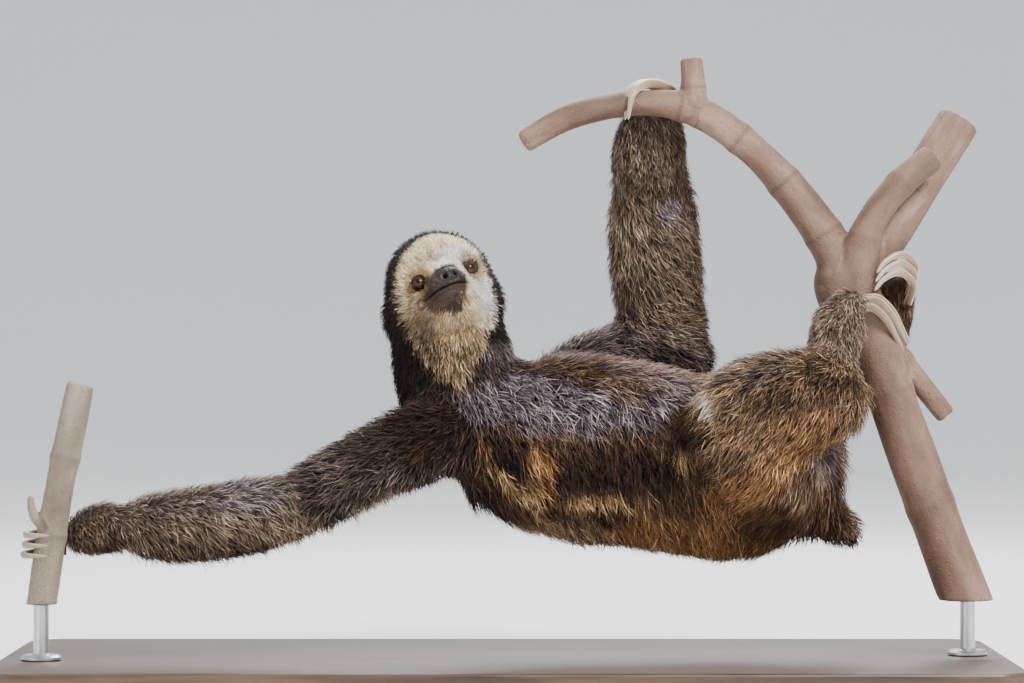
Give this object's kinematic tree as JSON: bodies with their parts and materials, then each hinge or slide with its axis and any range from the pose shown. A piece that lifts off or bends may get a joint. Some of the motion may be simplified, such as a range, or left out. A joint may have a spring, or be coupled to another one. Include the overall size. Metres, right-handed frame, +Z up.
{
  "type": "three-toed sloth model",
  "caption": "Life-size three-toed sloth hanging belly up from a forked branch, face turned out and an arm stretched to an upright stem, on a flat display base.",
  "frame": {"origin": "centre of the display base's underside", "axes": "+X runs from the stretched right hand to the feet, -Y is the side that the face is turned to, +Z is up"},
  "size_m": [0.8, 0.34, 0.496],
  "materials": {
    "coat": "coarse shaggy grey-brown hair over skin, cream face and throat, dark nape, tan and golden rump",
    "claw": "smooth ivory horn with a soft sheen",
    "eye": "wet glossy dark brown",
    "branch_bark": "smooth pinkish tan bark with pores and ring scars",
    "stem_bark": "smooth pale beige bark with small pores",
    "stand_wood": "dark stained, satin varnish",
    "stand_steel": "brushed"
  },
  "bodies": {
    "root": {"head": "coat", "neck": "coat", "trunk": "coat", "tail": "coat", "upper_arm_right": "coat", "upper_arm_left": "coat", "forearm_right": "coat", "forearm_left": "coat", "hand_right": "coat", "hand_left": "coat", "thigh_right": "coat", "thigh_left": "coat", "shin_right": "coat", "shin_left": "coat", "foot_right": "coat", "foot_left": "coat", "claw_right_hand_1": "claw", "claw_right_hand_2": "claw", "claw_right_hand_3": "claw", "claw_left_hand_1": "claw", "claw_left_hand_2": "claw", "claw_left_hand_3": "claw", "claw_right_foot_1": "claw", "claw_right_foot_2": "claw", "claw_right_foot_3": "claw", "claw_left_foot_1": "claw", "claw_left_foot_2": "claw", "claw_left_foot_3": "claw", "eye_right": "eye", "eye_left": "eye", "perch_branch": "branch_bark", "perch_stem": "stem_bark", "stand_base": "stand_wood", "stand_rod_right": "stand_steel", "stand_rod_left": "stand_steel"}
  },
  "joints": []
}
